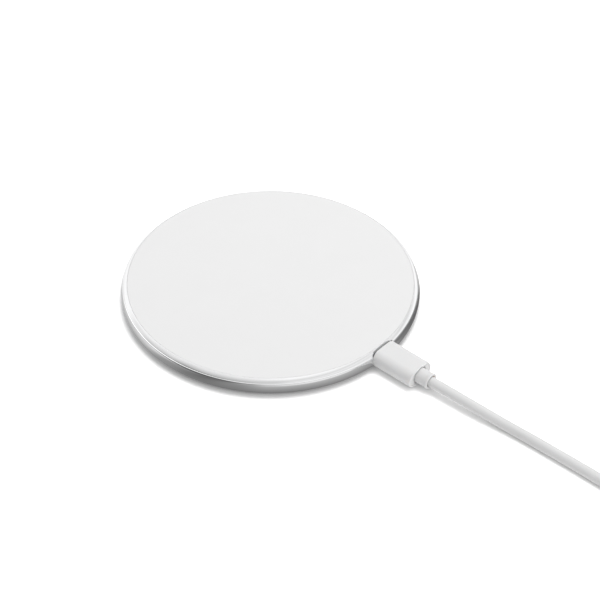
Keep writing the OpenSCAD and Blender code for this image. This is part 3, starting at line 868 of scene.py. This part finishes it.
SLOTS = {
    "mid_frame": "frame_plastic", "bottom_cover": "cover_plastic", "plate_adhesive_ring": "tape",
    "cover_screws": "black_steel", "charging_coil": "litz_copper", "coil_leads": "litz_copper",
    "coil_adhesive_pad": "adhesive", "ferrite_sheet": "ferrite", "circuit_board": "board_green",
    "board_screws": "steel", "receptacle_shell": "steel", "receptacle_tongue": "black_plastic",
    "receptacle_contacts": "gold_contact", "controller_chip": "chip_black",
    "power_stage_chip": "chip_black", "resonant_capacitors": "capacitor_ceramic",
    "input_capacitors": "capacitor_ceramic", "chip_resistors": "chip_black",
    "power_inductor": "inductor_ferrite", "temperature_sensor": "black_plastic",
    "sensor_wires": "wire_insulation", "thermal_pad": "thermal_silicone",
    "plug_insulator": "black_plastic", "plug_contacts": "gold_contact", "plug_board": "board_green",
    "usb_a_insulator": "white_plastic", "usb_a_contacts": "gold_contact",
}
for node_name, slot_name in SLOTS.items():
    obj = NODES[node_name]
    obj.data.materials.clear()
    obj.data.materials.append(MATS[slot_name].m)


def finish_piece(obj, mat, body, slot_name, *nodes):
    obj.data.materials.clear()
    obj.data.materials.append(MATS[mat].m)
    for p in obj.data.polygons:
        p.material_index = 0
    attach(obj, body)
    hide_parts(*nodes)
    return obj


finish_piece(cord, "cord_white", "usb_cable", "cord_white", "cable_run", "cable_coil", "cable_tail")
finish_piece(rim, "polished_metal", "pad", "polished_metal", "rim_ring")
finish_piece(plate, "plate_white", "pad", "plate_white", "top_plate")
finish_piece(foot_ring, "silicone", "pad", "silicone", "anti_slip_ring")
finish_piece(overmould, "overmould_white", "usb_cable", "overmould_white", "plug_overmould")
finish_piece(strain, "strain_white", "usb_cable", "overmould_white", "plug_strain_relief")
finish_piece(plug_shell, "steel", "usb_cable", "steel", "plug_shell")
finish_piece(tie, "strap_fabric", "usb_cable", "strap_fabric", "cable_tie")
finish_piece(a_overmould, "overmould_white", "usb_cable", "overmould_white", "usb_a_overmould")
finish_piece(a_strain, "strain_white", "usb_cable", "overmould_white", "usb_a_strain_relief")
finish_piece(a_shell, "steel", "usb_cable", "steel", "usb_a_shell")

# ---------------------------------------------------------------- floor and light


# What the polished metal mirrors, painted for its reflections alone: a soft white surround with a few grey flags and
# brighter patches in it.
# Each row is an elevation in degrees, then (azimuth, brightness) round it. Azimuth 0 is
# to the camera's right, 90 towards the camera, 180 to its left, and 270 away from it.
SURROUND = [
    (-2, [(-90, 1.05), (-55, 1.07), (-24, 1.0), (-14, 0.30), (-6, 0.22), (10, 0.45), (30, 0.84),
          (60, 0.88), (80, 0.74), (90, 0.61), (105, 0.38), (120, 0.18), (135, 0.13), (150, 0.12),
          (165, 0.22), (180, 0.56), (195, 0.90), (210, 1.05), (240, 1.05), (270, 1.05)]),
    (4, [(-90, 1.0), (-30, 1.05), (-20, 0.98), (-10, 0.75), (5, 0.55), (30, 0.88), (60, 0.90),
         (80, 0.78), (90, 0.64), (105, 0.34), (120, 0.12), (150, 0.07), (165, 0.24), (180, 0.56),
         (195, 0.92), (215, 1.06), (270, 1.0)]),
    (12, [(-90, 0.9), (-60, 0.86), (-40, 0.86), (-12, 1.02), (10, 0.96), (30, 0.94), (60, 0.94),
          (90, 0.72), (105, 0.35), (120, 0.14), (150, 0.08), (165, 0.40), (180, 0.60), (195, 0.82),
          (215, 1.05), (270, 0.95)]),
    (20, [(-90, 0.95), (-45, 0.80), (-20, 0.74), (5, 0.90), (30, 0.95), (60, 0.97), (90, 0.70),
          (110, 0.42), (130, 0.22), (150, 0.30), (165, 0.60), (180, 0.72), (195, 0.84), (215, 1.05),
          (270, 0.95)]),
    (28, [(-90, 0.97), (-64, 0.97), (-54, 0.22), (-43, 0.22), (-33, 0.92), (20, 0.80), (60, 0.78), (90, 0.72), (110, 0.52), (150, 0.50),
          (170, 0.74), (195, 0.95), (215, 1.05), (270, 0.97)]),
    (33, [(-90, 1.0), (-64, 0.97), (-54, 0.20), (-41, 0.20), (-30, 0.92), (30, 0.92), (70, 0.90), (90, 0.67),
          (110, 0.55), (150, 0.61), (170, 0.84), (195, 0.97), (212, 1.02), (226, 1.4), (240, 1.3),
          (270, 1.0)]),
    (40, [(-90, 1.0), (-60, 0.97), (-50, 0.20), (-37, 0.20), (-27, 0.92), (30, 0.76), (70, 0.75), (90, 0.68),
          (110, 0.66), (150, 0.72), (170, 0.90), (195, 0.98), (210, 1.02), (222, 1.5), (238, 1.4),
          (270, 1.0)]),
    (47, [(-90, 1.0), (-56, 0.97), (-46, 0.28), (-34, 0.28), (-24, 0.95), (30, 0.95), (70, 0.88), (90, 0.80),
          (110, 0.78), (150, 0.83), (170, 0.93), (195, 1.0), (206, 1.05), (216, 1.6), (232, 1.4),
          (270, 1.0)]),
    (56, [(-90, 1.03), (30, 1.08), (70, 1.08), (90, 1.02), (110, 0.90), (150, 0.90), (170, 0.96),
          (190, 1.4), (215, 1.7), (235, 1.4), (270, 1.03)]),
    (74, [(-90, 1.05), (30, 1.05), (90, 0.95), (140, 0.95), (200, 1.05), (270, 1.05)]),
]
# and the table round the pad as the polished metal mirrors it, by the side of the pad that it is on: touching it, and a
# little away. Its darker tones there are painted shade, which the table glows with in reflections instead of being lit
FLOOR_NEAR_PAINTED_SHADE = [(-90, 1.0), (-30, 1.0), (-14, 0.4), (0, 0.15), (12, 0.15), (30, 0.22), (60, 0.24),
              (90, 0.21), (112, 0.20), (124, 0.22), (136, 0.30), (150, 0.34), (165, 0.40),
              (180, 0.46), (200, 0.80), (215, 1.0), (270, 1.0)]
FLOOR_MID_PAINTED_SHADE = [(-90, 1.05), (-20, 1.07), (-12, 1.05), (-3, 0.3), (6, 0.15), (18, 0.2), (24, 0.18), (34, 0.42), (60, 0.56),
             (90, 0.52), (105, 0.30), (120, 0.13), (135, 0.31), (150, 0.88), (165, 0.80),
             (180, 0.80), (200, 1.0), (270, 1.05)]
FLOOR_REACH = 0.006  # metres from the pad at which the table is halfway between those two tones
FLOOR_EDGE = (0.019, 0.029)  # to the right the change is this far off, and quicker


class Stage:
    """Nodes shared by the floor and the surround."""

    def __init__(self, tree):
        self.t = tree
        tree.nodes.clear()

    def node(self, kind, **props):
        n = self.t.nodes.new(kind)
        for k, val in props.items():
            setattr(n, k, val)
        return n

    def join(self, a, b):
        self.t.links.new(a, b)

    def math(self, op, *args):
        n = self.node("ShaderNodeMath", operation=op)
        for i, x in enumerate(args):
            if isinstance(x, (int, float)):
                n.inputs[i].default_value = x
            else:
                self.join(x, n.inputs[i])
        return n.outputs[0]

    def azimuth(self, vector):
        """Azimuth of a vector, with -90 degrees as 0 and 270 as 1."""
        parts = []
        # the two level directions that azimuths 90 and 180 run along
        for way in ((math.sin(AZIMUTH), -math.cos(AZIMUTH), 0), (-math.cos(AZIMUTH), -math.sin(AZIMUTH), 0)):
            n = self.node("ShaderNodeVectorMath", operation="DOT_PRODUCT")
            n.inputs[1].default_value = way
            self.join(vector, n.inputs[0])
            parts.append(n.outputs["Value"])
        turn = self.math("ARCTAN2", parts[1], parts[0])
        return self.math("ADD", self.math("DIVIDE", turn, 2 * math.pi), 0.5)

    def ramp(self, at, stops):
        r = self.node("ShaderNodeValToRGB")
        r.color_ramp.interpolation = "EASE"
        while len(r.color_ramp.elements) > 1:
            r.color_ramp.elements.remove(r.color_ramp.elements[-1])
        for i, (deg, v) in enumerate(stops):
            spot = (deg + 90) / 360
            e = r.color_ramp.elements[0] if i == 0 else r.color_ramp.elements.new(spot)
            e.position = spot
            e.color = (v, v, v, 1)
        self.join(at, r.inputs[0])
        return r.outputs["Color"]

    def blend(self, t, a, b):
        n = self.node("ShaderNodeMix", data_type="RGBA")
        self.join(t, n.inputs["Factor"])
        self.join(a, n.inputs["A"])
        self.join(b, n.inputs["B"])
        return n.outputs["Result"]

    def between(self, x, lo, hi):
        n = self.node("ShaderNodeMapRange")
        self.join(x, n.inputs["Value"])
        n.inputs["From Min"].default_value = lo
        n.inputs["From Max"].default_value = hi
        return n.outputs[0]

    def glow(self, color, strength):
        n = self.node("ShaderNodeEmission")
        n.inputs["Strength"].default_value = strength
        if isinstance(color, tuple):
            n.inputs["Color"].default_value = (*color, 1)
        else:
            self.join(color, n.inputs["Color"])
        return n.outputs[0]

    def chalk(self, half, glow, painted_contact_shade=0.0):
        """A dull white of twice that reflectance, with a little light of its own.

        Its last argument paints shade into it where something stands within a few millimetres of it: a painted contact
        shadow, read from ambient occlusion."""
        total = self.glow((1.0, 1.0, 1.0), glow)
        shade = None
        if painted_contact_shade:
            # painted shade: ambient occlusion darkens the white within 3.6 mm of anything that stands there
            ao = self.node("ShaderNodeAmbientOcclusion", samples=16)
            ao.inputs["Distance"].default_value = 0.0036
            shade = self.math("MULTIPLY", self.math(
                "MULTIPLY_ADD", ao.outputs["AO"], painted_contact_shade, 1 - painted_contact_shade), half)
        for _ in range(2):
            white = self.node("ShaderNodeBsdfDiffuse")
            white.inputs["Color"].default_value = (half, half, half, 1)
            if shade:
                self.join(shade, white.inputs["Color"])
            both = self.node("ShaderNodeAddShader")
            self.join(white.outputs[0], both.inputs[0])
            self.join(total, both.inputs[1])
            total = both.outputs[0]
        return total

    def mirrored(self, plain, seen):
        """plain, except in the reflections of polished surfaces, which show seen."""
        mix = self.node("ShaderNodeMixShader")
        self.join(self.node("ShaderNodeLightPath").outputs["Is Glossy Ray"], mix.inputs[0])
        self.join(plain, mix.inputs[1])
        self.join(seen, mix.inputs[2])
        return mix.outputs[0]


def make_floor():
    mesh = bpy.data.meshes.new("floor")
    z = -2e-5  # a hair below the soles that stand on it
    line = [-3.0, -1.2, -0.5, -0.2, -0.07, 0.08, 0.21, 0.5, 1.2, 3.0]  # small faces near the pad
    n = len(line)
    mesh.from_pydata(
        [(x, y, z) for y in line for x in line], [],
        [(j * n + i, j * n + i + 1, (j + 1) * n + i + 1, (j + 1) * n + i)
         for j in range(n - 1) for i in range(n - 1)],
    )
    floor = bpy.data.objects.new("floor", mesh)
    scene.collection.objects.link(floor)
    mat = bpy.data.materials.new("floor_white")
    mat.use_nodes = True
    k = Stage(mat.node_tree)
    # a white table for the light that it bounces, and printed brighter, as such pictures are
    table = k.node("ShaderNodeMixShader")
    k.join(k.node("ShaderNodeLightPath").outputs["Is Diffuse Ray"], table.inputs[0])
    # the table that the camera sees carries that painted contact shadow
    k.join(k.chalk(FLOOR_SEEN, FLOOR_GLOW, 0.62), table.inputs[1])
    k.join(k.chalk(0.46, 0.20), table.inputs[2])
    where = k.node("ShaderNodeNewGeometry").outputs["Position"]
    length = k.node("ShaderNodeVectorMath", operation="LENGTH")
    k.join(where, length.inputs[0])
    away = k.math("MAXIMUM", k.math("SUBTRACT", length.outputs["Value"], 0.0495), 0.0)
    t = k.math("DIVIDE", away, k.math("ADD", away, FLOOR_REACH))
    az = k.azimuth(where)
    right = k.ramp(az, [(-90, 1), (15, 1), (30, 0), (200, 0), (230, 1), (270, 1)])
    t = k.blend(right, t, k.between(away, *FLOOR_EDGE))
    # painted shade for reflections: the table's tone darkens towards the pad by side and distance
    seen = k.blend(t, k.ramp(az, FLOOR_NEAR_PAINTED_SHADE), k.ramp(az, FLOOR_MID_PAINTED_SHADE))
    seen = k.blend(k.between(away, 0.022, 0.10), seen, k.ramp(az, SURROUND[0][1]))
    # below the pad the reflected table is a flat painted shade of 0.6
    under = k.ramp(az, [(-90, 0.6)])  # below the pad, for its base
    seen = k.blend(k.between(length.outputs["Value"], 0.043, 0.048), under, seen)
    out = k.node("ShaderNodeOutputMaterial")
    # far off it runs out into white, so that low views have no horizon
    camera = k.node("ShaderNodeLightPath").outputs["Is Camera Ray"]
    far = k.node("ShaderNodeMixShader")
    k.join(k.math("MULTIPLY", camera, k.between(length.outputs["Value"], 0.3, 0.7)), far.inputs[0])
    # in reflections the table is a glow of those painted tones, not a lit surface
    k.join(k.mirrored(table.outputs[0], k.glow(seen, 1.0)), far.inputs[1])
    k.join(k.glow((1.0, 1.0, 1.0), 1.0), far.inputs[2])
    # seen from below it is clear, so that the underside shows
    clear = k.node("ShaderNodeMixShader")
    k.join(k.math(
        "MULTIPLY", k.node("ShaderNodeNewGeometry").outputs["Backfacing"], camera,
    ), clear.inputs[0])
    k.join(far.outputs[0], clear.inputs[1])
    k.join(k.node("ShaderNodeBsdfTransparent").outputs[0], clear.inputs[2])
    k.join(clear.outputs[0], out.inputs["Surface"])
    mesh.materials.append(mat)


FLOOR_GLOW = 0.06
FLOOR_SEEN = 0.76


def make_world():
    world = bpy.data.worlds.new("studio")
    world.use_nodes = True
    scene.world = world
    k = Stage(world.node_tree)
    way = k.node("ShaderNodeTexCoord").outputs["Generated"]
    sep = k.node("ShaderNodeSeparateXYZ")
    k.join(way, sep.inputs[0])
    up = sep.outputs[2]
    az = k.azimuth(way)
    seen = k.ramp(az, SURROUND[0][1])
    for (e0, _), (e1, row) in zip(SURROUND, SURROUND[1:]):
        t = k.between(up, math.sin(math.radians(e0)), math.sin(math.radians(e1)))
        seen = k.blend(t, seen, k.ramp(az, row))
    plain = k.node("ShaderNodeBackground")
    plain.inputs["Color"].default_value = (1, 1, 1, 1)
    # lit by a soft white dome, which the camera itself sees as white
    camera = k.node("ShaderNodeLightPath").outputs["Is Camera Ray"]
    k.join(k.math("MULTIPLY_ADD", camera, 1.0 - DOME, DOME), plain.inputs["Strength"])
    # reflections see the painted surround instead of the plain dome
    shown = k.node("ShaderNodeBackground")
    k.join(seen, shown.inputs["Color"])
    shown.inputs["Strength"].default_value = 1.0
    out = k.node("ShaderNodeOutputWorld")
    k.join(k.mirrored(plain.outputs[0], shown.outputs[0]), out.inputs["Surface"])


DOME = 0.44


def add_light(name, place, size, watts, aim=(0, 0, 0)):
    data = bpy.data.lights.new(name, "AREA")
    data.shape, data.size = "DISK", size
    data.energy = watts
    obj = bpy.data.objects.new(name, data)
    obj.location = place
    obj.rotation_euler = (Vector(place) - Vector(aim)).to_track_quat("Z", "Y").to_euler()
    obj.visible_glossy = False
    scene.collection.objects.link(obj)


make_floor()
make_world()
add_light("key", (-0.13, 0.32, 1.03), 0.75, 6.9)
add_light("fill", (1.1, 0.1, 0.42), 0.8, 3.6)

scene.view_settings.view_transform = "Standard"
scene.view_settings.look = "None"
scene.view_settings.exposure = 0
scene.view_settings.gamma = 1
